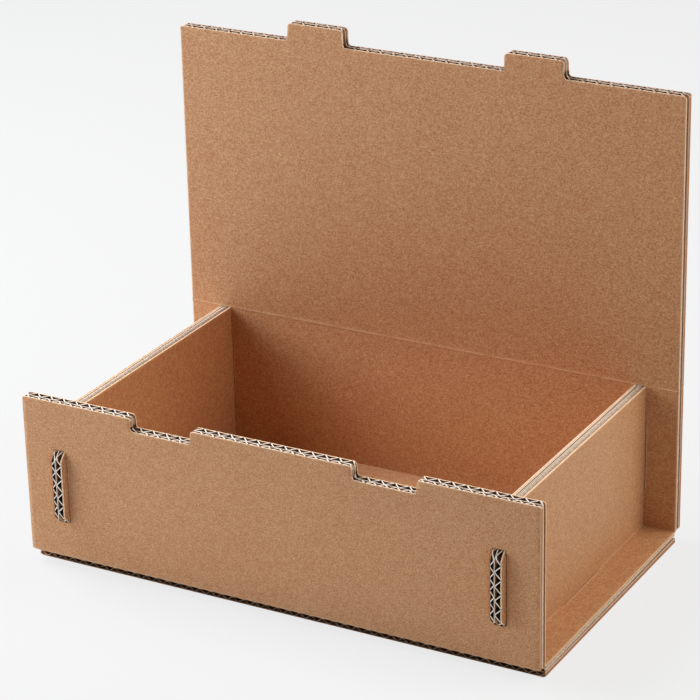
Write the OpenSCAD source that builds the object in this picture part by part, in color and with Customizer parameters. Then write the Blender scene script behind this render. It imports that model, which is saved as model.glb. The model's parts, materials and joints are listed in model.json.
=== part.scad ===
// Mailer box of double-wall corrugated board, standing open.
// One long blank folds into the front panel, the base, the back wall and the lid, and two
// separate side panels are slotted across it a little way in from its ends.
// Real size in millimetres. The box stands on its base, the front faces -Y and +Z is up.

/* [Box] */
// Width of the long blank, from one cut end to the other
box_w = 300; // [220:1:420]
// Clear depth between the front panel and the back wall
inside_d = 163; // [120:1:260]
// Clear height from the base to the underside of the closed lid
inside_h = 82; // [60:1:140]

/* [Board] */
// Thickness of each of the three flat liners
liner = 0.35; // [0.25:0.05:0.5]
// Thickness of the fluting paper between the liners
medium = 0.3; // [0.2:0.05:0.4]
// Height of the fine flutes, which lie on the outer side of the blank
fine_h = 2.45; // [2:0.05:3]
// Height of the coarse flutes, which lie on the inner side of the blank
coarse_h = 3.6; // [3:0.05:4.5]
// Distance from one fine flute to the next
fine_pitch = 6.65; // [6:0.05:7]
// Distance from one coarse flute to the next
coarse_pitch = 7.85; // [7.5:0.05:9]
// Half the width of the narrow end of a flute's opening
flute_nose = 0.45; // [0.3:0.05:0.6]

/* [Side panels] */
// Distance from the end of the blank to the outer face of a side panel
side_inset = 18.5; // [12:0.5:30]
// Width of each tab on a side panel
tab_w = 41; // [24:1:46]
// Distance that a tab stands out past the panel that it passes through
tab_out = 4; // [1:0.5:8]
// Cut-off corner at the tip of a tab
tab_chamfer = 4; // [1:0.5:5]
// Gap on each side of a tab in its slot
slot_gap = 0.5; // [0.2:0.1:1]
// Gap between the end of the lower tab and the surface that the box stands on
foot_gap = 0.3; // [0.2:0.1:1]
// Gap between the ends of a side panel and the panels that it stands between
side_gap = 0.3; // [0.2:0.1:1]

/* [Lid] */
// Gap between the closed lid and the front panel
lid_gap = 0.8; // [0.4:0.1:2]
// Width of each tab on the lid's front edge
lid_tab_w = 34; // [20:1:45]
// Distance from the middle of the lid to the middle of a tab
lid_tab_x = 65; // [40:1:80]
// Distance that a lid tab stands out past the closed front panel
lid_tab_out = 2; // [0:0.5:5]
// Gap on each side of a lid tab in its notch
notch_gap = 1.1; // [0.3:0.1:1.5]
// Gap between the closed lid and what it lies on
lid_rest_gap = 0.3; // [0.2:0.1:1]
// Gap that the knife leaves between the back wall and the lid where it cuts the crease
crease_gap = 0.3; // [0.2:0.1:0.8]

/* [Cut corners] */
// Radius of the outer corners of the front panel and the lid
corner_r = 1.5; // [1:0.5:4]
// Radius of the outer corners of the lid's tabs
lid_tab_r = 2.5; // [1:0.5:5]
// Radius where a tab runs into the lid
root_r = 2; // [0.5:0.5:2.5]
// Radius of the upper corners beside a notch
notch_r = 2; // [0.5:0.5:3]

/* [Hidden] */

kraft = [0.72, 0.54, 0.38];
kraft_light = [0.77, 0.60, 0.44];

// Number of straight pieces that make a quarter turn
corner_steps = 4;
// Whole thickness of the board
board_t = 3 * liner + fine_h + coarse_h;
// Height of the coarse row's far side and of the fine row's near side above the inner face
coarse_top = liner + coarse_h;
fine_foot = coarse_top + liner;
// Radius of the inner liner where it turns a corner: small enough to stay joined to both panels
fold_r = 1.5 * liner;

// Levels of the folded blank
crease_z = board_t + inside_h;
front_top_z = crease_z + board_t;
front_len = front_top_z - board_t;
lid_len = inside_d - lid_gap;
lid_tab_len = lid_gap + board_t + lid_tab_out;
notch_w = lid_tab_w + 2 * notch_gap;
notch_depth = board_t + lid_rest_gap;
// Corners of a notch's floor: small enough to stay clear of a tab's square edges
floor_r = 1.3 * (notch_gap + lid_rest_gap);

// Side panels
side_x = box_w / 2 - side_inset - board_t / 2;
side_len = inside_d - 2 * side_gap;
side_h = inside_h - lid_rest_gap;
tab_len = side_gap + board_t + tab_out;
foot_len = board_t - foot_gap;
slot_w = board_t + 2 * slot_gap;
slot_len = tab_w + 2 * slot_gap;
// A slot's round corners: small enough to stay clear of a tab's square ones
slot_r = 3 * slot_gap;
slot_z = board_t + inside_h / 2;
// Extra length that carries a cut clear of the board on both faces
cut_extra = 1;

// Points of a quarter turn about a centre, from one angle to another
function turn(centre, r, from, to) =
    [for (i = [0:corner_steps]) centre + r * [cos(from + (to - from) * i / corner_steps),
                                              sin(from + (to - from) * i / corner_steps)]];

// Rectangle with round corners, its middle at the origin
function round_slot(w, h, r) = concat(
    turn([w / 2 - r, h / 2 - r], r, 0, 90),
    turn([-w / 2 + r, h / 2 - r], r, 90, 180),
    turn([-w / 2 + r, -h / 2 + r], r, 180, 270),
    turn([w / 2 - r, -h / 2 + r], r, 270, 360));

// Openings of one row of flutes, between y = 0 and y = h. The fluting paper runs between them
// as an even zigzag: each opening is wide at one liner and narrow at the other.
module flute_openings(w, h, pitch) {
    slope = sqrt(pow(pitch / 2, 2) + pow(h, 2)) / h;
    reach = h / (h - medium);
    wide = (pitch / 2 - medium * slope - flute_nose * reach) / (2 - reach);
    count = ceil(w / pitch / 2) + 1;
    for (i = [-count:count]) {
        translate([i * pitch, 0])
            polygon([[-wide, 0], [wide, 0], [flute_nose, h - medium], [-flute_nose, h - medium]]);
        translate([(i + 0.5) * pitch, 0])
            polygon([[-wide, h], [-flute_nose, medium], [flute_nose, medium], [wide, h]]);
    }
}

// Section of the board across its flutes: three liners with the coarse row next to y = 0
module board_section(w) {
    difference() {
        translate([-w / 2, 0]) square([w, board_t]);
        translate([0, liner]) flute_openings(w, coarse_h, coarse_pitch);
        translate([0, fine_foot]) flute_openings(w, fine_h, fine_pitch);
    }
}

// Flat board, its inner face on z = 0 and its outer face on z = -board_t. The flutes run along Y.
module board(w, len) {
    rotate([90, 0, 0]) translate([0, 0, -len]) mirror([0, 1]) linear_extrude(len) board_section(w);
}

// Cut through the whole thickness of a board
module through() {
    translate([0, 0, -board_t - cut_extra]) linear_extrude(board_t + 2 * cut_extra) children();
}

// Outline from its right-hand half, whose points run from the near edge round to the far one
function both_halves(half) =
    concat(half, [for (i = [len(half) - 1:-1:0]) [-half[i].x, half[i].y]]);

// Outline of a panel whose far edge has two notches, with round corners
function notched_outline(w, len) =
    let (a = lid_tab_x - notch_w / 2, b = lid_tab_x + notch_w / 2, floor_y = len - notch_depth)
    both_halves(concat(
        [[w / 2, 0]],
        turn([w / 2 - corner_r, len - corner_r], corner_r, 0, 90),
        turn([b + notch_r, len - notch_r], notch_r, 90, 180),
        turn([b - floor_r, floor_y + floor_r], floor_r, 0, -90),
        turn([a + floor_r, floor_y + floor_r], floor_r, 270, 180),
        turn([a - notch_r, len - notch_r], notch_r, 0, 90)));

// Outline of the lid: round corners and two tabs on its far edge
function tabbed_outline(w, len) =
    let (a = lid_tab_x - lid_tab_w / 2, b = lid_tab_x + lid_tab_w / 2, tip = len + lid_tab_len)
    both_halves(concat(
        [[w / 2, 0]],
        turn([w / 2 - corner_r, len - corner_r], corner_r, 0, 90),
        turn([b + root_r, len + root_r], root_r, 270, 180),
        turn([b - lid_tab_r, tip - lid_tab_r], lid_tab_r, 0, 90),
        turn([a + lid_tab_r, tip - lid_tab_r], lid_tab_r, 90, 180),
        turn([a - root_r, len + root_r], root_r, 0, -90)));

// Outline of a side panel, seen from its side: X is the depth of the box and Y its height.
// A tab stands out at each end and below, each with cut-off tip corners. The lower corners are
// cut off as well, to stay clear of the inner liner where it turns at the folds.
function side_outline() =
    let (end = side_len / 2, tip = end + tab_len, half_tab = tab_w / 2, mid = slot_z - board_t)
    both_halves([
        [half_tab - tab_chamfer, -foot_len],
        [half_tab, -foot_len + tab_chamfer],
        [half_tab, 0],
        [end - fold_r, 0],
        [end, fold_r],
        [end, mid - half_tab],
        [tip - tab_chamfer, mid - half_tab],
        [tip, mid - half_tab + tab_chamfer],
        [tip, mid + half_tab - tab_chamfer],
        [tip - tab_chamfer, mid + half_tab],
        [end, mid + half_tab],
        [end, side_h]]);

// Slots for the two side panels, at one height up a wall or in the middle of the base
module slot_pair(y) {
    for (s = [-1, 1])
        translate([s * side_x, y]) polygon(round_slot(slot_w, slot_len, slot_r));
}

// Front panel lying flat: its fold is on y = 0 and its top edge is the far one
module front_panel() {
    difference() {
        intersection() {
            board(box_w, front_len);
            through() polygon(notched_outline(box_w, front_len));
        }
        through() slot_pair(slot_z - board_t);
    }
}

// Back wall lying flat, as high as the crease that carries the lid
module back_wall() {
    difference() {
        board(box_w, inside_h);
        through() slot_pair(slot_z - board_t);
    }
}

// Base, with its inner face up
module base_panel() {
    difference() {
        translate([0, -inside_d / 2, 0]) board(box_w, inside_d);
        through() slot_pair(0);
    }
}

// Inner liner where it turns from the base into a wall: the only layer that the fold leaves whole
module fold_strip() {
    outer = turn([fold_r, fold_r], fold_r + liner, 180, 270);
    inner = turn([fold_r, fold_r], fold_r, 270, 180);
    translate([-box_w / 2, 0, 0])
        rotate([90, 0, 90])
            linear_extrude(box_w)
                polygon(concat(outer, inner));
}

module box_blank() {
    color(kraft) {
        translate([0, 0, board_t]) base_panel();
        for (s = [0, 1])
            mirror([0, s, 0])
                translate([0, -inside_d / 2, board_t]) fold_strip();
        translate([0, -inside_d / 2, board_t]) rotate([90, 0, 0]) mirror([0, 0, 1]) front_panel();
        translate([0, inside_d / 2, board_t]) rotate([90, 0, 0]) back_wall();
    }
}

// Lid standing straight up. Its lower end keeps clear of the back wall all the way as it closes.
module lid() {
    color(kraft)
        translate([0, inside_d / 2, crease_z])
            rotate([90, 0, 0])
                intersection() {
                    translate([0, crease_gap, 0])
                        board(box_w, lid_len + lid_tab_len - crease_gap);
                    through() polygon(tabbed_outline(box_w, lid_len));
                }
}

// Side panel standing across the box. Its flutes run from front to back and its fine row faces -X.
module side_panel(x) {
    color(kraft_light)
        translate([x + board_t / 2, 0, board_t])
            rotate([90, 0, 90])
                intersection() {
                    translate([0, side_h / 2, 0])
                        rotate(90)
                            translate([0, -side_len / 2 - tab_len, 0])
                                board(side_h + 2 * foot_len, side_len + 2 * tab_len);
                    through() polygon(side_outline());
                }
}

module left_side_panel() {
    side_panel(-side_x);
}

module right_side_panel() {
    side_panel(side_x);
}

box_blank();
lid();
left_side_panel();
right_side_panel();
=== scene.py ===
# %% [markdown]
# A mailer box of double-wall corrugated board, standing open. This lesson builds the paper
# that the board is made of: flat liners, wavy fluting, cut edges, folds and the lid's crease.
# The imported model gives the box's real places, and every sheet of paper is laid out around them.
# %% Start
import json
import math

import bpy
import numpy as np
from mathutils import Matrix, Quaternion, Vector


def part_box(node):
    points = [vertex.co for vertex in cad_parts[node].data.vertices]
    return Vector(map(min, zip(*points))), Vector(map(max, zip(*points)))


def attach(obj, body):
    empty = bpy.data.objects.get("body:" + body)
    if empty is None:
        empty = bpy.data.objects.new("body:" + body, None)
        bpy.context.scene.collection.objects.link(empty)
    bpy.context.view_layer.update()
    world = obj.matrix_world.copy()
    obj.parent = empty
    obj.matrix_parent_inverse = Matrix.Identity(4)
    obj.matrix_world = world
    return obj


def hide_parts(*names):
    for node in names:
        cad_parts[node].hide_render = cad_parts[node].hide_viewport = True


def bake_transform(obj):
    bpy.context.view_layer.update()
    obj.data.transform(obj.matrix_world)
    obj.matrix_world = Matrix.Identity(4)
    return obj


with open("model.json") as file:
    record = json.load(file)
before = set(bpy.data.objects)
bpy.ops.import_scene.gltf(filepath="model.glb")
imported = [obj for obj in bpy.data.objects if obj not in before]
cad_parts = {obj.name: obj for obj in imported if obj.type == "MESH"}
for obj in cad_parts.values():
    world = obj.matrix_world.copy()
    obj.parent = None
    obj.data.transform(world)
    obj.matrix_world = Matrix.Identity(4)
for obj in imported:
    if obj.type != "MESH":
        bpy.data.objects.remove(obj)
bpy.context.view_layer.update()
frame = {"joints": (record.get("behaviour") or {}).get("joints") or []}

# %% [markdown]
# Sizes come from the frame where it holds them. Millimetres are easier to read than metres here,
# so everything is worked out in millimetres and turned into metres when a mesh is made.
# The board has three flat liners. The coarse fluting lies next to the inner face and the fine
# fluting next to the outer one, as in the solids.
# %% Sizes of the box
MM = 0.001
blank_high = np.array(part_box("box_blank")[1]) / MM
lid_low, lid_high = (np.array(point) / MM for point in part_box("lid"))
side_low, side_high = (np.array(point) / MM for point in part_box("right_side_panel"))
half_w = blank_high[0]
board_t = lid_high[1] - lid_low[1]
half_d = frame["joints"][0]["pos_m"][1] / MM
crease_z = frame["joints"][0]["pos_m"][2] / MM
front_top = blank_high[2]
side_x = (side_low[0] + side_high[0]) / 2
lid_cut_z = lid_low[2]
tab_top = lid_high[2]
print("half width %.1f, half depth %.1f, board %.2f, crease at %.1f" % (half_w, half_d, board_t, crease_z))

# %% [markdown]
# The layers of the board, measured from its inner face outwards. A flute's pitch is the distance
# from one wave to the next.
# %% Layers of the board
LINER = 0.35
PAPER = 0.32
COARSE_H, COARSE_PITCH = 3.6, 7.85
FINE_H, FINE_PITCH = 2.45, 6.65
coarse_v = LINER
middle_v = coarse_v + COARSE_H
fine_v = middle_v + LINER
outer_v = fine_v + FINE_H
print("layers start at", [round(v, 2) for v in (0, coarse_v, middle_v, fine_v, outer_v)])

# %% [markdown]
# Nothing on a cardboard box is perfectly even: flutes drift, cuts waver, paper sags. One small
# function gives a smooth wandering value from a few sine waves whose lengths don't divide each
# other, and a seeded generator picks where each wave starts, so every run gives the same box.
# %% Smooth wander
def wander(x, seed, length):
    """Sum of four sines of falling length and size, each with its own start, between about -1 and 1."""
    starts = np.random.default_rng(seed).uniform(0, 2 * np.pi, 4)
    shares = np.array([1.0, 0.62, 0.41, 0.23])
    waves = np.array([1.0, 1.93, 3.71, 7.3])
    total = sum(s * np.sin(2 * np.pi * w * x / length + p) for s, w, p in zip(shares, waves, starts))
    return total / shares.sum()


# %% [markdown]
# A panel is cut with a steel rule, which leaves round corners, notches, tabs and slots. To lay
# paper over it, a grid of cells is drawn: columns across the flutes, and rows along them that
# follow the outline. A round corner is a row that bends, and a notch or a slot is a group of
# cells that is left out. This keeps every sheet one clean grid with true edges. The columns are
# evenly spaced, apart from marked places that must have one, which push out any close neighbour.
# %% Cut corners
NEAR_MARK = 0.35
CORNER_ANGLES = np.radians([0, 15, 30, 45, 60, 75, 90])


def corner(d, r):
    """Rise of a quarter circle of radius r at distance d from where it starts."""
    d = np.clip(d, 0, r)
    return np.sqrt(r * r - (r - d) ** 2)


def near_corner(place, r, side):
    """Places just beside a corner, spaced as a quarter turn is: closer where it is steep."""
    return place + side * r * (1 - np.cos(CORNER_ANGLES))


def columns(low, high, step, marks):
    """An even row of places with the marked ones put in, less any that lie within a share of a step of them."""
    marks = np.unique(np.round(np.concatenate([[low, high], *map(np.atleast_1d, marks)]), 4))
    marks = marks[(marks >= low) & (marks <= high)]
    even = np.linspace(low, high, int(round((high - low) / step)) + 1)
    far = np.abs(even[:, None] - marks[None, :]).min(axis=1) > NEAR_MARK * step
    return np.sort(np.concatenate([even[far], marks]))


# %% [markdown]
# Each sheet of paper is a closed skin: a near face, a far face and a wall round every edge that
# the knife cut. The walls are found by looking where a kept cell meets an empty one. They get a
# material of their own, because a cut edge is paler and rougher than the face of the paper.
# %% A closed sheet from a grid with cells left out
FACE_MARK, END_MARK, SIDE_MARK, FOLD_MARK = range(4)


def closed_sheet(near, far, keep):
    """Points, faces and marks of the skin over the kept cells of two matching grids of points.

    A point may carry more than its three places, such as how torn the paper is there. The marks tell
    the faces of the paper from the walls across the flutes, its ends, and those along them, its sides.
    """
    rows, cols = keep.shape[0] + 1, keep.shape[1] + 1
    grid = np.arange(rows * cols).reshape(rows, cols)
    back = rows * cols
    face = np.stack([grid[:-1, :-1], grid[:-1, 1:], grid[1:, 1:], grid[1:, :-1]], -1)[keep]
    wide = np.pad(keep, 1)
    below, above = wide[:-1, 1:-1], wide[1:, 1:-1]
    left, right = wide[1:-1, :-1], wide[1:-1, 1:]
    walls = []
    for a, b, here in (
        (grid[:, 1:], grid[:, :-1], above & ~below),
        (grid[:, :-1], grid[:, 1:], below & ~above),
        (grid[:-1, :], grid[1:, :], right & ~left),
        (grid[1:, :], grid[:-1, :], left & ~right),
    ):
        walls.append(np.stack([a[here], b[here], b[here] + back, a[here] + back], -1))
    counts = [2 * len(face), len(walls[0]) + len(walls[1]), len(walls[2]) + len(walls[3])]
    marks = np.repeat([FACE_MARK, END_MARK, SIDE_MARK], counts)
    faces = np.concatenate([face, face[:, ::-1] + back, *walls])
    points = np.concatenate([skin.reshape(-1, skin.shape[-1]) for skin in (near, far)])
    used, faces = np.unique(faces, return_inverse=True)
    return points[used], faces.reshape(-1, 4), marks


def outward(points, faces):
    """The same faces, turned over if they enclose a negative volume."""
    a, b, c, d = (points[faces[:, k]] for k in range(4))
    volume = np.einsum("ij,ij->", a, np.cross(b, c)) + np.einsum("ij,ij->", a, np.cross(c, d))
    return faces if volume > 0 else faces[:, ::-1]


# %% [markdown]
# The meshes go into Blender as whole arrays. Edges sharper than 40 degrees stay sharp, so the
# waves look round while the cuts look crisp. The marks pick each face's finish.
# %% Mesh from arrays
SHARP_ANGLE = 40


def make_piece(name, parts, materials, body, node):
    """One object from several sheets; it rides on its body and stands for its node."""
    points, faces, start = [], [], 0
    for sheet_points, sheet_faces, _, _ in parts:
        points.append(sheet_points)
        faces.append(outward(sheet_points, sheet_faces) + start)
        start += len(sheet_points)
    points, faces = np.concatenate(points) * MM, np.concatenate(faces)
    finish, torn = (np.concatenate([part[k] for part in parts]) for k in (2, 3))
    mesh = bpy.data.meshes.new(name)
    mesh.vertices.add(len(points))
    mesh.vertices.foreach_set("co", points.astype(np.float32).ravel())
    mesh.loops.add(faces.size)
    mesh.loops.foreach_set("vertex_index", faces.astype(np.int32).ravel())
    mesh.polygons.add(len(faces))
    mesh.polygons.foreach_set("loop_start", np.arange(0, faces.size, 4, dtype=np.int32))
    mesh.polygons.foreach_set("material_index", finish.astype(np.int32))
    mesh.polygons.foreach_set("use_smooth", np.ones(len(faces), bool))
    mesh.update(calc_edges=True)
    mesh.set_sharp_from_angle(angle=math.radians(SHARP_ANGLE))
    mesh.attributes.new("torn", "FLOAT", "POINT").data.foreach_set("value", torn.astype(np.float32))
    for m in materials:
        mesh.materials.append(m)
    piece = bpy.data.objects.new(name, mesh)
    bpy.context.scene.collection.objects.link(piece)
    if body:
        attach(piece, body)
    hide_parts(node)
    print("%-34s %6d points %6d faces" % (name, len(points), len(faces)))
    return piece


# %% [markdown]
# Fluting is a wavy sheet between two liners. Its wave is nearly a sine with flanks that are a
# little straighter. Real flutes don't lie quite square to the panel, so where a panel is cut along
# them the knife slowly moves from one side of a flute to the other. Each row of each board keeps
# its pitch, its skew, the seed of its drift and the turn that its wave starts at. The drift changes
# over a length across the flutes and over another along them. The glue sinks each wave's top a
# little into its liner.
# %% Wave of the fluting
WAVE_MIX, GLUE = 0.07, 0.03
DRIFT_ACROSS, LENGTH_ACROSS = 0.14, 190
DRIFT_ALONG, LENGTH_ALONG = 0.07, 120


def wave_angle(u, path, row):
    """Angle of a row's wave at place u across the flutes and place path along them."""
    drift = DRIFT_ACROSS * wander(u, row["seed"], LENGTH_ACROSS)
    drift = drift + DRIFT_ALONG * wander(path, row["seed"] + 1, LENGTH_ALONG)
    return 2 * np.pi * ((u + row["skew"] * path + drift) / row["pitch"] + row["start"])


def wave(angle):
    """Height of the wave from -1 to 1: a cosine with a share of its third harmonic."""
    return (np.cos(angle) + WAVE_MIX * np.cos(3 * angle)) / (1 + WAVE_MIX)


# %% [markdown]
# Cutting leaves its mark. Along the flutes the knife crushes the board, and the liners roll in
# over the hollows that lie under them. Across the flutes the paper bows in only a little between
# two waves. Both are a shift of the liner towards the middle of the board that fades away from
# the edge, and it is larger where the fluting doesn't hold the liner up. The knife comes from the
# outer side, so the outer liner rolls in most, and along the flutes its edge is dragged over the
# cut. The cut also leaves a thick burr on each sheet of paper.
# %% Pressed edges
ROLL, OUTER_ROLL, ROLL_REACH, ROLL_ON_WAVE = 0.3, 0.7, 1.0, 0.25
BOW, BOW_REACH = 0.22, 1.4
SINK = 0.02
BURR, BURR_REACH = 0.6, 0.4
LINER_BURR, BURR_FADE = {"inner": 0.3, "middle": 0.2, "outer": 0.3}, 0.5
OUTER_DRAG = 1.2
UNCUT = 1000.0


def press(side, depth, hollow, roll):
    """How far a liner moves inwards: a sink over hollows, a roll near the sides, a bow near cut flutes."""
    rolled = roll * np.exp(-((side / ROLL_REACH) ** 2)) * (ROLL_ON_WAVE + (1 - ROLL_ON_WAVE) * hollow)
    bow = BOW * np.exp(-np.clip(depth, 0, None) / BOW_REACH) * hollow
    return SINK * hollow + rolled + bow


# %% [markdown]
# The knife also tears fibres out of the paper beside the cut. Each point keeps how near it is to a
# cut as a number, and the finishes use it to show pale torn fibres there, with painted shade for
# small pits. It reaches further in on the fluting, where the knife drags a flank along, so each row
# of each board says how far, and the liners share theirs. On the fluting, whose face colour is
# painted shade, the reach also sets how far the pale paper shows before the shade of the hollows.
# The flutes' ends are torn less, and the lid's least, so more painted shade shows in its hollows.
# %% Torn paper beside a cut
LINER_TORN = {"inner": 0.5, "middle": 0.5, "outer": 0.2}
# The lid's smaller share lets more of the fluting's painted shade show in its hollows.
END_TORN, LID_END_TORN_AND_SHADE, END_REACH = 0.5, 0.25, 0.35


def torn_share(side, depth, reach, end_torn):
    """The larger of a bell over the distance from the sides and a given share that falls from the flutes' ends."""
    ends = end_torn * np.exp(-np.clip(depth, 0, None) / END_REACH)
    return np.maximum(np.exp(-((side / reach) ** 2)), ends)


# %% [markdown]
# One panel is now a grid, a rule for which cells are kept, and a rule that puts a point of the
# board where it belongs in space. The same rules serve all five layers, so they always fit. A pair
# of values says at which ends of its flutes the knife cut a panel right through: at neither of
# them, the ends are those of a half-cut fold and get a mark of their own.
# %% Layers of one panel
BOTH_CUT, START_CUT, END_CUT, NO_CUT = (True, True), (True, False), (False, True), (False, False)


def distance_from_walls(u, keep):
    """Distance of each point across the flutes from the nearest wall of its row, on its left or right."""
    cells = np.pad(keep, ((0, 0), (1, 1)))
    wall = np.pad(cells[:, :-1] != cells[:, 1:], ((1, 1), (0, 0)), mode="edge")
    wall = wall[:-1] & wall[1:]
    left = np.maximum.accumulate(np.where(wall, u, -UNCUT), axis=1)
    right = np.minimum.accumulate(np.where(wall, u, UNCUT)[:, ::-1], axis=1)[:, ::-1]
    return np.minimum(u - left, right - u)


def depth_from_cuts(rows, keep, cut_ends):
    """Distance of each point from the nearer end of its own flute, where the knife cut that end."""
    kept = np.pad(keep, ((0, 0), (1, 1)))
    kept = kept[:, :-1] | kept[:, 1:]
    first = np.take_along_axis(rows, kept.argmax(axis=0)[None, :], 0)
    last = np.take_along_axis(rows, (len(kept) - kept[::-1].argmax(axis=0))[None, :], 0)
    from_first = rows - first if cut_ends[0] else UNCUT
    from_last = last - rows if cut_ends[1] else UNCUT
    return np.minimum(from_first, from_last) + 0 * rows


def lay_board(layer, grid, place, path, board, cut_ends=BOTH_CUT, end_torn=END_TORN):
    """One layer of a panel as a closed sheet. Points are (across the flutes, along them, into the board)."""
    u, rows, keep = grid(layer)
    u = np.broadcast_to(u, rows.shape)
    low, high = u[0, 0], u[0, -1]
    side = distance_from_walls(u, keep)
    depth = depth_from_cuts(rows, keep, cut_ends)
    reach = board[layer]["torn"] if layer in board else LINER_TORN[layer]
    torn = torn_share(side, depth, reach, end_torn)
    angles = {row: wave_angle(u, path(rows), board[row]) for row in ("coarse", "fine")}
    inner_press = press(side, depth, (1 + wave(angles["coarse"])) / 2, ROLL)
    outer_press = press(side, depth, (1 - wave(angles["fine"])) / 2, OUTER_ROLL)
    if layer in ("coarse", "fine"):
        h, start = (COARSE_H, coarse_v) if layer == "coarse" else (FINE_H, fine_v)
        size = (h - PAPER) / 2 + GLUE
        v = start + h / 2 + size * wave(angles[layer])
        lean = -size * np.sin(angles[layer]) * 2 * np.pi / board[layer]["pitch"]
        half = PAPER / 2 * (1 + BURR * np.exp(-np.clip(depth, 0, None) / BURR_REACH))
        across, into = -lean / np.hypot(1, lean) * half, half / np.hypot(1, lean)
        if layer == "coarse":
            v = np.maximum(v, LINER + inner_press + PAPER / 2)
        else:
            v = np.minimum(v, outer_v - outer_press - PAPER / 2)
        near = np.stack([np.clip(u - across, low, high), rows, v - into, torn], -1)
        far = np.stack([np.clip(u + across, low, high), rows, v + into, torn], -1)
    else:
        shift = {"inner": inner_press, "middle": middle_v + 0 * u, "outer": outer_v - outer_press}[layer]
        nearest = np.minimum(side, np.clip(depth, 0, None))
        burr = LINER_BURR[layer] * np.exp(-((nearest / BURR_FADE) ** 2))
        if layer == "outer":
            burr = burr + OUTER_DRAG * np.exp(-((side / BURR_FADE) ** 2))
        near_share = {"inner": 0.0, "middle": 0.5, "outer": 1.0}[layer]
        near = np.stack([u, rows, shift - near_share * burr, torn], -1)
        far = np.stack([u, rows, shift + LINER + (1 - near_share) * burr, torn], -1)
    points, faces, marks = closed_sheet(near, far, keep)
    if not any(cut_ends):
        marks = np.where(marks == END_MARK, FOLD_MARK, marks)
    return place(points[:, :3]), faces, marks, points[:, 3]


# %% [markdown]
# Steps between columns and rows: fluting needs about a dozen columns to a wave, flat liners far
# fewer. Along the flutes a few rows lie close to each cut, where the paper bows, and the rest are
# spaced out. Across them, columns lie close to each side, where the liners roll in.
# %% Grid steps
WAVE_STEPS = 12
STEP = {"inner": 1.6, "middle": 3.0, "outer": 1.6,
        "coarse": COARSE_PITCH / WAVE_STEPS, "fine": FINE_PITCH / WAVE_STEPS}
ROW_STEP = {"inner": 8.0, "middle": 16.0, "outer": 8.0, "coarse": 10.0, "fine": 10.0}
CUT_ROWS = np.array([0.0, 0.5, 1.2, 3.0])
ROLL_MARKS = np.array([0.0, 0.3, 0.6, 1.0, 1.5, 2.2, 3.2])


def line(u, value):
    """A straight row at one height."""
    return np.full(u.shape, float(value))


def panel_grid(u, lines, step):
    """Rows and kept cells of a panel from its main lines, each with the cells that it keeps above it."""
    rows, keep = [], []
    for (start, kept), (end, _) in zip(lines, lines[1:]):
        count = max(int(round(np.abs(np.mean(end - start)) / step)), 1)
        rows += [start + (end - start) * k / count for k in range(count)]
        keep += [kept] * count
    return u, np.array(rows + [lines[-1][0]]), np.array(keep)


# %% [markdown]
# The outlines repeat the solids' own sizes. A slot is a pair of lines that swell apart, and its
# cells between them are left out. A notch or a tab is the same at the edge of a panel.
# %% Outlines of the blank
SLOT_W, SLOT_L, SLOT_R, SLOT_Z, SLOT_EASE = 8.1, 42.0, 1.5, 48.1, 0.8
CORNER_R, ROOT_R = 1.5, 2.0
NOTCH_FROM, NOTCH_TO, NOTCH_DEEP, NOTCH_R, FLOOR_R = 46.9, 83.1, 7.4, 2.0, 1.82
TAB_FROM, TAB_TO, TAB_LONG, TAB_R = 48.0, 82.0, 9.9, 2.5


def both_sides(low, high, r_out, r_in):
    """Columns beside the two walls of a notch or a tab, on both halves of the panel."""
    near, far = near_corner(low, r_out, -1), near_corner(low, r_in, 1)
    back, end = near_corner(high, r_in, -1), near_corner(high, r_out, 1)
    marks = np.concatenate([near, far, back, end])
    return np.concatenate([-marks, marks])


slot_from, slot_to = side_x - SLOT_W / 2, side_x + SLOT_W / 2
rim_marks = np.concatenate([slot_from - ROLL_MARKS[1:5], slot_to + ROLL_MARKS[1:5]])
slot_marks = np.concatenate([both_sides(slot_from, slot_to, 0, SLOT_R), rim_marks, -rim_marks])
notch_marks = both_sides(NOTCH_FROM, NOTCH_TO, NOTCH_R, FLOOR_R)
tab_marks = both_sides(TAB_FROM, TAB_TO, ROOT_R, TAB_R)
end_marks = np.concatenate([near_corner(s * half_w, CORNER_R, -s) for s in (-1, 1)])
roll_marks = np.concatenate([s * (half_w - ROLL_MARKS) for s in (-1, 1)])


def beside(u, low, high):
    """Distance of each column from the nearer wall of a notch or tab, and whether it lies between them."""
    place = np.abs(u)
    d = np.minimum(np.abs(place - low), np.abs(place - high))
    return d, (place > low - 1e-6) & (place < high + 1e-6)


def cells_between(u, low, high):
    """Which cells between two columns lie between two places, on both halves of the panel."""
    centre = np.abs(u[1:] + u[:-1]) / 2
    return (centre > low) & (centre < high)


def slot_lines(u, middle):
    """The two lines that bound the slots of a panel, which swell apart by the slots' round corners."""
    d, between = beside(u, slot_from, slot_to)
    swell = np.where(between, corner(d, SLOT_R), 0) - SLOT_R
    return middle - SLOT_L / 2 - swell, middle + SLOT_L / 2 + swell


def slot_rows(u, low, high):
    """The lines of the slots between two curves, with their kept cells and a close row inside each end."""
    everywhere = np.ones(len(u) - 1, bool)
    slot = cells_between(u, slot_from, slot_to)
    return [(low, ~slot), (low + SLOT_EASE, ~slot), (high - SLOT_EASE, ~slot), (high, everywhere)]


def slotted(u, middle):
    """The rows of a panel's slots, and the cells that are kept elsewhere."""
    return slot_rows(u, *slot_lines(u, middle)), np.ones(len(u) - 1, bool)


def cut_rows(row, side, kept):
    """Rows close to a cut edge on one side of it, in rising order."""
    return [(row + side * d, kept) for d in (CUT_ROWS if side > 0 else CUT_ROWS[::-1])]


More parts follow.
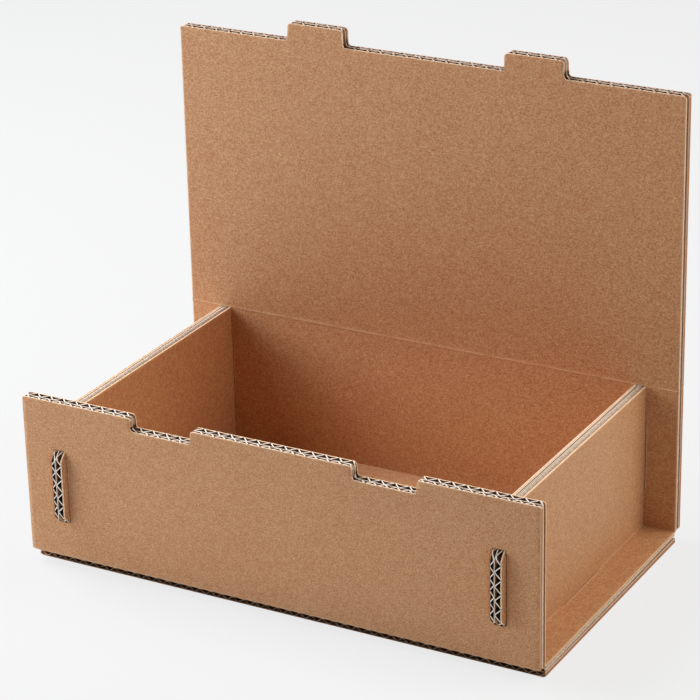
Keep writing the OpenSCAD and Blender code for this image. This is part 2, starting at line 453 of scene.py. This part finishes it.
def notched_edge(u, top):
    """Floor of the notches and top edge of the front panel, with every corner rounded."""
    d, between = beside(u, NOTCH_FROM, NOTCH_TO)
    floor = top - NOTCH_DEEP + FLOOR_R - np.where(between, corner(d, FLOOR_R), 0)
    edge = top - NOTCH_R + np.where(between, 0, corner(d, NOTCH_R))
    return floor, edge - CORNER_R + corner(half_w - np.abs(u), CORNER_R)


def tabbed_edge(u, tip):
    """Far edge of the lid and tips of its tabs, with every corner rounded."""
    d, between = beside(u, TAB_FROM, TAB_TO)
    edge = tip - TAB_LONG + ROOT_R - np.where(between, 0, corner(d, ROOT_R))
    edge = edge - CORNER_R + corner(half_w - np.abs(u), CORNER_R)
    return edge, tip - TAB_R + np.where(between, corner(d, TAB_R), 0)


print("slots at x", side_x, "notches", NOTCH_FROM, NOTCH_TO, "tabs", TAB_FROM, TAB_TO)

# %% [markdown]
# The blank is one strip of board that is folded twice and creased once, so a place along it is
# counted from the middle of the base: negative towards the front, positive towards the lid. The
# flutes run along this strip, from the front panel's top edge to the tip of the lid, so a wave
# that leaves one panel comes back in at the same place on the next.
# %% Places along the strip
FOLD_R = 1.5 * LINER
flat_end = half_d - FOLD_R
arc = FOLD_R * np.pi / 2


def strip_place(z):
    """Place along the strip of a height up a wall: half the base, the fold's quarter turn, then the rise."""
    return flat_end + arc + z - board_t - FOLD_R


def lay_strip(points):
    """Puts points of the inner liner in space: flat on the base, round each fold, and up each wall."""
    u, p, v = points.T
    q = np.abs(p)
    turn = np.clip((q - flat_end) / FOLD_R, 0, np.pi / 2)
    y = np.minimum(q, flat_end) + (FOLD_R + v) * np.sin(turn)
    z = board_t + FOLD_R - (FOLD_R + v) * np.cos(turn) + np.maximum(q - flat_end - arc, 0)
    return np.stack([u, np.sign(p) * y, z], -1)


def lay_front(points):
    u, z, v = points.T
    return np.stack([u, -half_d - v, z], -1)


def lay_base(points):
    u, y, v = points.T
    return np.stack([u, y, board_t - v], -1)


def lay_back(points):
    u, z, v = points.T
    return np.stack([u, half_d + v, z], -1)


print("strip from %.1f to %.1f mm" % (-strip_place(front_top), strip_place(tab_top)))

# %% [markdown]
# Each panel of the blank now gets its lines, in rising order along its own length. The outer
# four layers stop at the folds, because the box is folded there by a cut that leaves only the
# inner liner whole. The inner liner runs on from the front panel's top edge to the crease. The
# crease has rows of its own, closest at its middle, where the pale line is painted.
# %% Panels of the blank and the lid
FOLD_ROWS = 6
CREASE_REACH = 1.5
CREASE_ROWS = CREASE_REACH * np.array([0.0, 0.1, 0.2, 0.4, 0.7, 1.0])


def blank_columns(layer, *marks):
    return columns(-half_w, half_w, STEP[layer], [roll_marks, *marks])


def front_grid(layer):
    u = blank_columns(layer, slot_marks, notch_marks, end_marks)
    slots, everywhere = slotted(u, SLOT_Z)
    notch = cells_between(u, NOTCH_FROM, NOTCH_TO)
    floor, edge = notched_edge(u, front_top)
    lines = (cut_rows(line(u, board_t), 1, everywhere) + slots + cut_rows(floor, -1, everywhere)[:-1]
             + [(floor, ~notch)] + cut_rows(edge, -1, ~notch))
    return panel_grid(u, lines, ROW_STEP[layer])


def base_grid(layer):
    u = blank_columns(layer, slot_marks)
    slots, everywhere = slotted(u, 0)
    lines = cut_rows(line(u, -half_d), 1, everywhere) + slots + cut_rows(line(u, half_d), -1, everywhere)
    return panel_grid(u, lines, ROW_STEP[layer])


def back_grid(layer):
    u = blank_columns(layer, slot_marks)
    slots, everywhere = slotted(u, SLOT_Z)
    lines = cut_rows(line(u, board_t), 1, everywhere) + slots + cut_rows(line(u, crease_z), -1, everywhere)
    return panel_grid(u, lines, ROW_STEP[layer])


def lid_grid(layer):
    u = blank_columns(layer, tab_marks, end_marks)
    everywhere = np.ones(len(u) - 1, bool)
    tab = cells_between(u, TAB_FROM, TAB_TO)
    edge, tip = tabbed_edge(u, tab_top)
    start = crease_z + CREASE_REACH if layer == "inner" else lid_cut_z
    lines = (cut_rows(line(u, start), 1, everywhere) + cut_rows(edge, -1, everywhere)[:-1]
             + [(edge, tab)] + cut_rows(tip, -1, tab))
    return panel_grid(u, lines, ROW_STEP[layer])


def strip_grid(layer):
    """The inner liner from the front panel's top edge to the crease, with close rows round each fold."""
    u = blank_columns(layer, slot_marks, notch_marks, end_marks)
    everywhere = np.ones(len(u) - 1, bool)
    notch = cells_between(u, NOTCH_FROM, NOTCH_TO)
    floor, edge = (-strip_place(row) for row in notched_edge(u, front_top))
    low, high = slot_lines(u, SLOT_Z)
    base_low, base_high = slot_lines(u, 0)
    fold = [(line(u, p), everywhere) for p in np.linspace(flat_end, flat_end + arc, FOLD_ROWS)]
    front_fold = [(-row, kept) for row, kept in fold[::-1]]
    lines = (cut_rows(edge, 1, ~notch) + cut_rows(floor, 1, everywhere)
             + slot_rows(u, -strip_place(high), -strip_place(low)) + front_fold
             + slot_rows(u, base_low, base_high) + fold
             + slot_rows(u, strip_place(low), strip_place(high))
             + [(line(u, strip_place(crease_z - CREASE_REACH)), everywhere)])
    return panel_grid(u, lines, ROW_STEP[layer])


def crease_grid(layer):
    """The short strip of inner liner that bends when the lid turns."""
    u = blank_columns(layer)
    everywhere = np.ones(len(u) - 1, bool)
    lines = [(line(u, crease_z + d), everywhere) for d in (*-CREASE_ROWS[:0:-1], *CREASE_ROWS)]
    return panel_grid(u, lines, ROW_STEP[layer])


def same_place(p):
    return p


def front_place(z):
    return -strip_place(z)


# %% [markdown]
# The side panels are cut from the same board the other way round: their flutes run from front to
# back. Here the columns are heights, and the rows run from the tip of the front tab to the tip of
# the back one. The lower tab is a group of columns that keeps its middle cells only.
# %% Side panels
SIDE_GAP, TAB_HALF, CHAMFER = 0.3, 20.5, 4.0
foot_low, side_top, side_tip = side_low[2], side_high[2], side_high[1]
side_end = half_d - SIDE_GAP


def side_grid(layer):
    """Heights as columns, and lines across the panel: tab tip, panel end, lower tab, and back again."""
    cuts = [foot_low + CHAMFER, board_t, *(board_t + ROLL_MARKS[1:4]), board_t + FOLD_R]
    cuts += [SLOT_Z + s * (TAB_HALF - d) for s in (-1, 1) for d in (*ROLL_MARKS[:3], CHAMFER)]
    z = columns(foot_low, side_top, STEP[layer], [np.array(cuts), side_top - ROLL_MARKS])
    centre = (z[1:] + z[:-1]) / 2
    everywhere, above, tab = centre > 0, centre > board_t, np.abs(centre - SLOT_Z) < TAB_HALF
    tip = side_tip - np.clip(CHAMFER - TAB_HALF + np.abs(z - SLOT_Z), 0, CHAMFER)
    end = side_end - np.clip(board_t + FOLD_R - z, 0, FOLD_R)
    foot = TAB_HALF - np.clip(foot_low + CHAMFER - z, 0, CHAMFER)
    lines = (cut_rows(-tip, 1, tab) + cut_rows(-end, 1, above) + [(-foot, everywhere), (foot, above)]
             + cut_rows(end, -1, above)[:-1] + [(end, tab)] + cut_rows(tip, -1, tab))
    return panel_grid(z, lines, ROW_STEP[layer])


def lay_side(x):
    """Rule that stands a side panel at x with its inner face towards +X."""
    def lay(points):
        z, y, v = points.T
        return np.stack([x + board_t / 2 - v, y, z], -1)
    return lay


print("side panels at x", -side_x, side_x, "from z", foot_low, "to", side_top)

# %% [markdown]
# Where a wave stands at a cut decides what the cut shows, so each board says which turn of its
# waves lies at one chosen place. The rest follows from the pitch, the skew and the drift.
# %% Boards
def board_with(seed, place, turns, skews, torn):
    """The coarse and fine rows of a board whose waves stand at the given turns at one place."""
    board = {}
    rows = zip(("coarse", "fine"), (COARSE_PITCH, FINE_PITCH), turns, skews, torn, (seed, seed + 5))
    for row, pitch, turn, skew, reach, row_seed in rows:
        board[row] = {"pitch": pitch, "skew": skew, "seed": row_seed, "start": 0.0, "torn": reach}
        u, path = (np.array([float(c)]) for c in place)
        board[row]["start"] = turn - wave_angle(u, path, board[row])[0] / (2 * np.pi)
    return board


# The last pair is how far the torn share reaches on each row's fluting, which also sets how far the pale paper shows
# before the fluting's painted shade.
blank_board = board_with(11, (half_w, -strip_place(50)), (-0.08, 0.40), (-0.005, 0.006), (2.4, 2.6))
left_board = board_with(37, (side_top, 0), (-0.11, 0.14), (0.0006, 0.0004), (2.6, 1.5))
right_board = board_with(53, (side_top, 0), (-0.12, 0.15), (0.0008, -0.0004), (2.6, 1.5))
print("wave starts", [round(row["start"] % 1, 3) for row in (*blank_board.values(), *left_board.values())])

# %% [markdown]
# Kraft paper is brown wood fibre, pressed flat and left unbleached. Close to, it has a fine grain
# of fibres that lie mostly one way, a soft mottle where the pulp was thicker, and a few dark
# specks. All of that is one effect that every paper here shares, so it is a node group: it takes
# a place on the paper and a colour, and gives back a varied colour, a height for the bump and a
# roughness. The grain has a tint of its own, as the paper's fibres are less brown than its body.
# Near a cut the effect also lays torn fibres over the paper, whole or in flakes, with painted shade for the pits
# between them.
# Each scale is about the number of grains to a metre.
# %% Paper effect
GRAIN_SCALE, FIBRE_SCALE, MOTTLE_SCALE, CLOUD_SCALE = 1500, 640, 240, 17
SPECK_SCALE, FLAKE_SCALE = 620, 700
GRAIN_SHARE, ROUGH_SHARE, MIDDLE = 0.8, 0.3, 0.5
SPECK_FROM, SPECK_STEEP = 0.69, 9.0
FLAKE_STEP, PIT_STEP, PIT_SHARE = (0.50, 0.58), (0.43, 0.35), 0.35


def srgb(red, green, blue):
    """Linear colour of a display colour from 0 to 255: the inverse of the display's curve."""
    share = np.array([red, green, blue]) / 255
    linear = np.where(share <= 0.04045, share / 12.92, ((share + 0.055) / 1.055) ** 2.4)
    return (*linear.tolist(), 1.0)


# Painted shade for the small pits between torn flakes.
PIT_SHADE = srgb(70, 45, 28)


def new_group(name, inputs, outputs):
    """An empty shader node group with named sockets, and its input and output nodes."""
    group = bpy.data.node_groups.new(name, "ShaderNodeTree")
    for label, kind in inputs:
        group.interface.new_socket(name=label, in_out="INPUT", socket_type=kind)
    for label, kind in outputs:
        group.interface.new_socket(name=label, in_out="OUTPUT", socket_type=kind)
    return group, group.nodes.new("NodeGroupInput"), group.nodes.new("NodeGroupOutput")


def math_node(tree, operation, a, b, c=None):
    """A Math node fed by numbers or sockets; its output socket."""
    node = tree.nodes.new("ShaderNodeMath")
    node.operation = operation
    for socket, value in zip(node.inputs, (a, b, c)):
        if value is None:
            continue
        if isinstance(value, (int, float)):
            socket.default_value = value
        else:
            tree.links.new(value, socket)
    return node.outputs[0]


def noise_node(tree, vector, scale, detail, rough=0.5):
    """A Noise Texture of about the given number of grains to a metre; its value socket."""
    node = tree.nodes.new("ShaderNodeTexNoise")
    tree.links.new(vector, node.inputs["Vector"])
    node.inputs["Scale"].default_value = scale
    node.inputs["Detail"].default_value = detail
    node.inputs["Roughness"].default_value = rough
    return node.outputs["Fac"]


def step_node(tree, value, low, high):
    """A soft step from 0 at the first value to 1 at the second; its value socket."""
    node = tree.nodes.new("ShaderNodeMapRange")
    node.interpolation_type = "SMOOTHSTEP"
    tree.links.new(value, node.inputs["Value"])
    node.inputs["From Min"].default_value = low
    node.inputs["From Max"].default_value = high
    return node.outputs["Result"]


def vector_node(tree, operation, a, b):
    """A Vector Math node fed by two sockets, of which the second may be a scale; its vector socket."""
    node = tree.nodes.new("ShaderNodeVectorMath")
    node.operation = operation
    tree.links.new(a, node.inputs[0])
    tree.links.new(b, node.inputs["Scale" if operation == "SCALE" else 1])
    return node.outputs[0]


def mix_node(tree, share, from_colour, to_colour):
    """A Mix node from a colour socket towards a colour or another socket; its colour socket."""
    node = tree.nodes.new("ShaderNodeMix")
    node.data_type = "RGBA"
    factor, _, _, _, _, _, first, second = node.inputs[:8]
    tree.links.new(share, factor)
    tree.links.new(from_colour, first)
    if isinstance(to_colour, tuple):
        second.default_value = to_colour
    else:
        tree.links.new(to_colour, second)
    return node.outputs[2]


def torn_paper(group, take, colour):
    """Torn fibres over the colour, all of them or only the flakes of a noise, and painted shade for pits between the
    flakes.
    """
    flake = noise_node(group, take["Place"], FLAKE_SCALE, 2.0, 0.6)
    whole = math_node(group, "SUBTRACT", 1.0, take["Flaked"])
    flaked = math_node(group, "MULTIPLY_ADD", step_node(group, flake, *FLAKE_STEP), take["Flaked"], whole)
    pale = math_node(group, "MULTIPLY", take["Torn"], flaked)
    pitted = math_node(group, "MULTIPLY", take["Flaked"], step_node(group, flake, *PIT_STEP))
    pit = math_node(group, "MULTIPLY", math_node(group, "MULTIPLY", take["Torn"], pitted), PIT_SHARE)
    return mix_node(group, pit, mix_node(group, pale, colour, take["Torn Colour"]), PIT_SHADE)


def build_paper_group():
    """A weighted sum of noises about their middle times the grain's tint, added to the colour less its specks.

    The roughness is the given one plus a share of the fibre noise, as pressed fibres are smoother.
    """
    values = ("Grain", "Mottle", "Cloud", "Specks", "Base Roughness", "Torn", "Flaked")
    inputs = [("Place", "NodeSocketVector"), ("Fibre Stretch", "NodeSocketVector"), ("Colour", "NodeSocketColor"),
              ("Grain Tint", "NodeSocketColor"), ("Torn Colour", "NodeSocketColor")]
    inputs += [(value, "NodeSocketFloat") for value in values]
    outputs = [("Colour", "NodeSocketColor"), ("Height", "NodeSocketFloat"), ("Roughness", "NodeSocketFloat")]
    group, given, result = new_group("kraft_fibres", inputs, outputs)
    take = given.outputs
    along = vector_node(group, "MULTIPLY", take["Place"], take["Fibre Stretch"])
    grain = noise_node(group, along, GRAIN_SCALE, 1.0, 0.6)
    fibre = noise_node(group, along, FIBRE_SCALE, 1.0, 0.6)
    mottle = noise_node(group, take["Place"], MOTTLE_SCALE, 2.0)
    cloud = noise_node(group, take["Place"], CLOUD_SCALE, 2.0)
    speck = noise_node(group, take["Place"], SPECK_SCALE, 1.0)
    speck = math_node(group, "MULTIPLY", math_node(group, "SUBTRACT", speck, SPECK_FROM), SPECK_STEEP)
    speck = math_node(group, "MINIMUM", math_node(group, "MAXIMUM", speck, 0.0), 1.0)
    fibres = math_node(group, "MULTIPLY", fibre, 1 - GRAIN_SHARE)
    fine = math_node(group, "ADD", math_node(group, "MULTIPLY", grain, GRAIN_SHARE), fibres)
    total = 0.0
    for noise, label in ((fine, "Grain"), (mottle, "Mottle"), (cloud, "Cloud")):
        centred = math_node(group, "SUBTRACT", noise, MIDDLE)
        total = math_node(group, "MULTIPLY_ADD", centred, take[label], total)
    unspecked = math_node(group, "SUBTRACT", 1.0, math_node(group, "MULTIPLY", speck, take["Specks"]))
    plain = vector_node(group, "SCALE", take["Colour"], unspecked)
    tinted = vector_node(group, "ADD", plain, vector_node(group, "SCALE", take["Grain Tint"], total))
    uneven = math_node(group, "MULTIPLY", math_node(group, "SUBTRACT", fibre, MIDDLE), ROUGH_SHARE)
    roughness = math_node(group, "ADD", uneven, take["Base Roughness"])
    for label, socket in (("Colour", torn_paper(group, take, tinted)), ("Height", fine), ("Roughness", roughness)):
        group.links.new(socket, result.inputs[label])
    return group


paper_group = build_paper_group()
print("paper effect has", len(paper_group.nodes), "nodes")

# %% [markdown]
# Ten finishes use it. The kraft liner is the brown face. Its fibres lie across the flutes, from
# left to right on the blank and upwards on the side boards. Where the knife cut a liner, its torn
# fibres scatter more light and look pale. The fluting's faces are dark, darkest on the side panels:
# that colour is painted shade for the hollows, and the fluting's cuts are nearly white. The middle
# liner's edge is greyer. The fluting's ends at a half-cut fold are greyer and darker, painted shade
# for the gap under the front and back walls. Most of the outer liner's edges are a darker brown,
# and the lid's fluting ends are painted a darker grey-beige, as shade for the lid's hollows. Each
# look is the strength of grain, mottle, cloud and specks, then the roughness and the height of the
# bump in metres.
# %% Finishes
ALONG_X, ALONG_Z = (0.7, 1.0, 1.0), (1.0, 1.0, 0.7)
LOOK_LABELS = ("Grain", "Mottle", "Cloud", "Specks", "Base Roughness")
FACE_LOOK = (1.55, 0.17, 0.08, 0.2, 0.6, 1e-4)
WAVE_LOOK = (0.6, 0.15, 0.05, 0.2, 0.85, 6e-5)
CLEAN_CUT, LINER_CUT, ROUGH_CUT, LID_END_CUT = (
    (grain, mottle, 0.05, 0.05, 0.85, 1e-4) for grain, mottle in ((0.5, 0.2), (0.8, 0.3), (1.0, 0.5), (1.5, 0.8)))
SPECULAR, SHEEN, SHEEN_ROUGHNESS = 0.35, 0.08, 0.5


def paper_finish(name, colour, look, torn_colour=None, flaked=0.0, stretch=ALONG_X, grain_tint=None):
    """A matt paper: the paper effect feeds its colour, roughness and bump, and the rest is set on the shader."""
    material = bpy.data.materials.new(name)
    material.use_nodes = True
    tree = material.node_tree
    shader = tree.nodes["Principled BSDF"]
    place = tree.nodes.new("ShaderNodeTexCoord")
    effect = tree.nodes.new("ShaderNodeGroup")
    effect.node_tree = paper_group
    tree.links.new(place.outputs["Object"], effect.inputs["Place"])
    if torn_colour:
        near_cut = tree.nodes.new("ShaderNodeAttribute")
        near_cut.attribute_name = "torn"
        tree.links.new(near_cut.outputs["Fac"], effect.inputs["Torn"])
        effect.inputs["Torn Colour"].default_value = torn_colour
        effect.inputs["Flaked"].default_value = flaked
    effect.inputs["Fibre Stretch"].default_value = stretch
    effect.inputs["Colour"].default_value = colour
    effect.inputs["Grain Tint"].default_value = grain_tint or colour
    for label, value in zip(LOOK_LABELS, look):
        effect.inputs[label].default_value = value
    relief = tree.nodes.new("ShaderNodeBump")
    relief.inputs["Strength"].default_value = 1.0
    relief.inputs["Distance"].default_value = look[-1]
    tree.links.new(effect.outputs["Height"], relief.inputs["Height"])
    tree.links.new(effect.outputs["Colour"], shader.inputs["Base Color"])
    tree.links.new(relief.outputs["Normal"], shader.inputs["Normal"])
    tree.links.new(effect.outputs["Roughness"], shader.inputs["Roughness"])
    shader.inputs["Specular IOR Level"].default_value = SPECULAR
    shader.inputs["Sheen Weight"].default_value = SHEEN
    shader.inputs["Sheen Roughness"].default_value = SHEEN_ROUGHNESS
    return material


KRAFT, CUT_KRAFT, TORN_FIBRES = srgb(199, 146, 101), srgb(240, 202, 162), srgb(236, 215, 194)
KRAFT_GRAIN = (0.406, 0.403, 0.237, 1.0)
FLAKED = 0.25
kraft_x = paper_finish("kraft_liner", KRAFT, FACE_LOOK, CUT_KRAFT, grain_tint=KRAFT_GRAIN)
kraft_z = paper_finish("kraft_liner_side", KRAFT, FACE_LOOK, CUT_KRAFT, stretch=ALONG_Z, grain_tint=KRAFT_GRAIN)
liner_cut = paper_finish("kraft_cut_edge", CUT_KRAFT, LINER_CUT)
# The fluting's dark face colours are painted shade for its hollows; its cuts show how pale its paper is.
fluting = paper_finish("fluting_painted_shade", srgb(108, 68, 42), WAVE_LOOK, TORN_FIBRES, FLAKED)
side_fluting = paper_finish("side_fluting_painted_shade", srgb(54, 38, 27), WAVE_LOOK, TORN_FIBRES, FLAKED)
fluting_cut = paper_finish("fluting_cut_edge", srgb(252, 243, 231), CLEAN_CUT)
grey_cut = paper_finish("middle_liner_edge", srgb(216, 194, 172), ROUGH_CUT)
# The fluting's ends at a half-cut fold are painted darker, as shade for the gap under the front and back walls.
fold_cut = paper_finish("half_cut_edge_painted_shade", srgb(214, 184, 154), ROUGH_CUT)
# Most of the outer liner's edges are a darker brown than its face.
outer_liner_brown_edge = paper_finish("brown_liner_edge", srgb(186, 124, 76), LINER_CUT)
# The lid's fluting ends are painted a darker grey-beige, as shade for the lid's hollows.
lid_fluting_shaded_edge = paper_finish("lid_fluting_edge_painted_shade", srgb(206, 190, 176), LID_END_CUT)
cuts = (liner_cut, fluting_cut, grey_cut, fold_cut, outer_liner_brown_edge, lid_fluting_shaded_edge)
print("finishes", [m.name for m in (kraft_x, kraft_z, fluting, side_fluting, *cuts)])

# %% [markdown]
# Now every layer of every board is laid as a piece of its own, five to a board, as the real
# board is glued up. The wavy sheets are real waves, so they show at each cut and in each slot.
# %% Pieces of board
PIECE_NAMES = {"inner": "inner_liner", "coarse": "coarse_fluting", "middle": "middle_liner",
               "fine": "fine_fluting", "outer": "outer_liner"}


def finishes_of(layer, node):
    """Finishes of a layer's faces, its ends, its sides and its half-cut folds, in the order of the marks."""
    at_side = node.endswith("side_panel")
    if layer in ("coarse", "fine"):
        face = side_fluting if at_side else fluting
        return face, lid_fluting_shaded_edge if node == "lid" else fluting_cut, fluting_cut, fold_cut
    face = kraft_z if at_side else kraft_x
    if layer == "middle":
        return face, grey_cut, grey_cut, face
    if layer == "inner":
        return face, liner_cut, liner_cut, face
    end = liner_cut if node == "box_blank" else outer_liner_brown_edge
    return face, end, liner_cut if at_side else outer_liner_brown_edge, face


for layer, ending in PIECE_NAMES.items():
    if layer == "inner":
        parts = [lay_board(layer, strip_grid, lay_strip, same_place, blank_board, START_CUT)]
    else:
        parts = [lay_board(layer, front_grid, lay_front, front_place, blank_board),
                 lay_board(layer, base_grid, lay_base, same_place, blank_board, NO_CUT),
                 lay_board(layer, back_grid, lay_back, strip_place, blank_board)]
    make_piece("box_blank_" + ending, parts, finishes_of(layer, "box_blank"), "box", "box_blank")
    lid_cuts = END_CUT if layer == "inner" else BOTH_CUT
    parts = [lay_board(layer, lid_grid, lay_back, strip_place, blank_board, lid_cuts, LID_END_TORN_AND_SHADE)]
    make_piece("lid_" + ending, parts, finishes_of(layer, "lid"), "lid", "lid")
    for side, x, board in (("left", -side_x, left_board), ("right", side_x, right_board)):
        node = side + "_side_panel"
        parts = [lay_board(layer, side_grid, lay_side(x), same_place, board)]
        make_piece(node + "_" + ending, parts, finishes_of(layer, node), "box", node)

# %% [markdown]
# The crease is the one place where the box bends in use. A short strip of the inner liner joins
# the back wall to the lid and swells a little towards the inside, as creased paper does. A thin
# pale line with gaps is painted along its middle. The strip is attached to neither body, so it
# stays where it is laid when the lid moves.
# %% Crease of the lid
CREASE_SWELL, SWELL_VARIES, SWELL_LENGTH, SWELL_SEED = 0.15, 0.2, 60, 71
PALE_LINE_REACH, PALE_LINE_MEAN, PALE_LINE_VARIES, PALE_LINE_LENGTH, PALE_LINE_SEED = 0.22, 0.75, 0.7, 31, 73


def lay_crease(points):
    """The strip in space, swollen towards -Y by a bell over its height that wanders along the crease."""
    placed = lay_back(points)
    rise = (placed[:, 2] - crease_z) / CREASE_REACH
    bell = np.cos(np.clip(rise, -1, 1) * np.pi / 2) ** 2
    varied = 1 - SWELL_VARIES + SWELL_VARIES * wander(placed[:, 0], SWELL_SEED, SWELL_LENGTH)
    placed[:, 1] -= CREASE_SWELL * bell * varied
    return placed


def pale_crease_line(points):
    """Share of the pale line: a narrow bell over the height, which wanders between full and none along X."""
    bell = np.exp(-(((points[:, 2] - crease_z) / PALE_LINE_REACH) ** 2))
    return bell * np.clip(PALE_LINE_MEAN + PALE_LINE_VARIES * wander(points[:, 0], PALE_LINE_SEED, PALE_LINE_LENGTH), 0, 1)


crease_sheet = lay_board("inner", crease_grid, lay_crease, strip_place, blank_board, NO_CUT)
crease_sheet = (*crease_sheet[:3], pale_crease_line(crease_sheet[0]))
crease = make_piece("lid_crease", [crease_sheet], finishes_of("inner", "lid"), None, "lid")
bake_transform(crease)

# %% [markdown]
# The stage is a plain pale floor. The camera sees it at one even tone, as in a studio where the
# sweep is lit by itself, with the box's soft shadow on it. Other rays meet a plain matt floor, so
# it throws a natural amount of light back up at the box.
# %% Floor and world
FLOOR_HALF = 4.0
FLOOR_GLOW, FLOOR_SHADE, FLOOR_BOUNCE = 0.78, 0.10, 0.85


def grey(share):
    """Linear colour of an even grey."""
    return (share, share, share, 1.0)


def seen_directly(tree):
    """Light Path's camera, glossy and transmission rays added together, at most one."""
    rays = tree.nodes.new("ShaderNodeLightPath")
    total = math_node(tree, "ADD", rays.outputs["Is Camera Ray"], rays.outputs["Is Glossy Ray"])
    return math_node(tree, "MINIMUM", math_node(tree, "ADD", total, rays.outputs["Is Transmission Ray"]), 1.0)


def floor_finish():
    material = bpy.data.materials.new("studio_floor")
    material.use_nodes = True
    tree = material.node_tree
    tree.nodes.remove(tree.nodes["Principled BSDF"])
    glow, shade, bounce = (tree.nodes.new("ShaderNode" + kind) for kind in ("Emission", "BsdfDiffuse", "BsdfDiffuse"))
    glow.inputs["Color"].default_value = grey(1.0)
    glow.inputs["Strength"].default_value = FLOOR_GLOW
    shade.inputs["Color"].default_value = grey(FLOOR_SHADE)
    bounce.inputs["Color"].default_value = grey(FLOOR_BOUNCE)
    lit, mix = tree.nodes.new("ShaderNodeAddShader"), tree.nodes.new("ShaderNodeMixShader")
    tree.links.new(glow.outputs[0], lit.inputs[0])
    tree.links.new(shade.outputs[0], lit.inputs[1])
    tree.links.new(seen_directly(tree), mix.inputs[0])
    tree.links.new(bounce.outputs[0], mix.inputs[1])
    tree.links.new(lit.outputs[0], mix.inputs[2])
    tree.links.new(mix.outputs[0], tree.nodes["Material Output"].inputs["Surface"])
    return material


def build_floor():
    mesh = bpy.data.meshes.new("floor")
    corners = [(x * FLOOR_HALF, y * FLOOR_HALF, 0.0) for x, y in ((-1, -1), (1, -1), (1, 1), (-1, 1))]
    mesh.from_pydata(corners, [], [(0, 1, 2, 3)])
    mesh.materials.append(floor_finish())
    floor = bpy.data.objects.new("floor", mesh)
    bpy.context.scene.collection.objects.link(floor)
    return floor


BACKGROUND = srgb(239, 239, 239)
AMBIENT = 0.02


def build_world():
    """A soft even light all round, which the camera sees as the pale background."""
    world = bpy.data.worlds.new("studio")
    bpy.context.scene.world = world
    world.use_nodes = True
    tree = world.node_tree
    seen, soft = tree.nodes["Background"], tree.nodes.new("ShaderNodeBackground")
    mix = tree.nodes.new("ShaderNodeMixShader")
    seen.inputs["Color"].default_value = BACKGROUND
    soft.inputs["Color"].default_value = grey(1.0)
    soft.inputs["Strength"].default_value = AMBIENT
    tree.links.new(seen_directly(tree), mix.inputs[0])
    tree.links.new(soft.outputs[0], mix.inputs[1])
    tree.links.new(seen.outputs[0], mix.inputs[2])
    tree.links.new(mix.outputs[0], tree.nodes["World Output"].inputs["Surface"])


build_floor()
build_world()

# %% [markdown]
# The photograph's light comes mostly from the left, from a large soft lamp that stands level with
# the box and high, so it grazes the front and the lid and fades towards the right. A smaller low
# lamp helps it. Three gentle lamps on the right light the faces turned to +X and the inside from
# above. The left light is a little cooler than the right, as in the photograph.
# %% Lamps
COOL, WARM = (0.96, 1.0, 1.07), (1.05, 1.0, 0.93)
BOX_MIDDLE = (0, 0, 0.12)


def lamp(name, place, size, power, tint):
    """A square area lamp that points from its place at the box."""
    light = bpy.data.lights.new(name, "AREA")
    light.size, light.energy, light.color = size, power, tint
    thing = bpy.data.objects.new(name, light)
    thing.location = place
    thing.rotation_mode = "QUATERNION"
    thing.rotation_quaternion = (Vector(BOX_MIDDLE) - Vector(place)).to_track_quat("-Z", "Y")
    bpy.context.scene.collection.objects.link(thing)
    return thing


lamp("left_softbox", (-1.0, 0.05, 1.15), 0.7, 24.5, COOL)
lamp("left_low", (-0.95, -0.5, 0.5), 0.5, 6.5, COOL)
lamp("right_side", (1.8, -0.2, 0.8), 0.9, 5.2, WARM)
lamp("right_back", (1.3, 0.6, 1.0), 0.8, 6.3, WARM)
lamp("right_top", (0.7, 0.5, 1.5), 0.9, 8.1, WARM)

# %% [markdown]
# The camera stands where the photograph's did: a long lens, to the right of the front and above.
# The place and the lens came from matching about ninety corners of the box.
# %% Camera
CAMERA_PLACE, CAMERA_TARGET = (0.6694, -1.1969, 0.6965), (-0.004, 0.004, 0.114)
LENS, SENSOR, ROLL_DEG = 146.58, 36.0, -1.31


def build_camera():
    data = bpy.data.cameras.new("camera")
    data.lens, data.sensor_width = LENS, SENSOR
    camera = bpy.data.objects.new("camera", data)
    look = (Vector(CAMERA_TARGET) - Vector(CAMERA_PLACE)).to_track_quat("-Z", "Y")
    camera.location = CAMERA_PLACE
    camera.rotation_mode = "QUATERNION"
    camera.rotation_quaternion = look @ Quaternion((0, 0, 1), math.radians(ROLL_DEG))
    bpy.context.scene.collection.objects.link(camera)
    bpy.context.scene.camera = camera
    return camera


build_camera()
bpy.context.scene.view_settings.view_transform = "Standard"
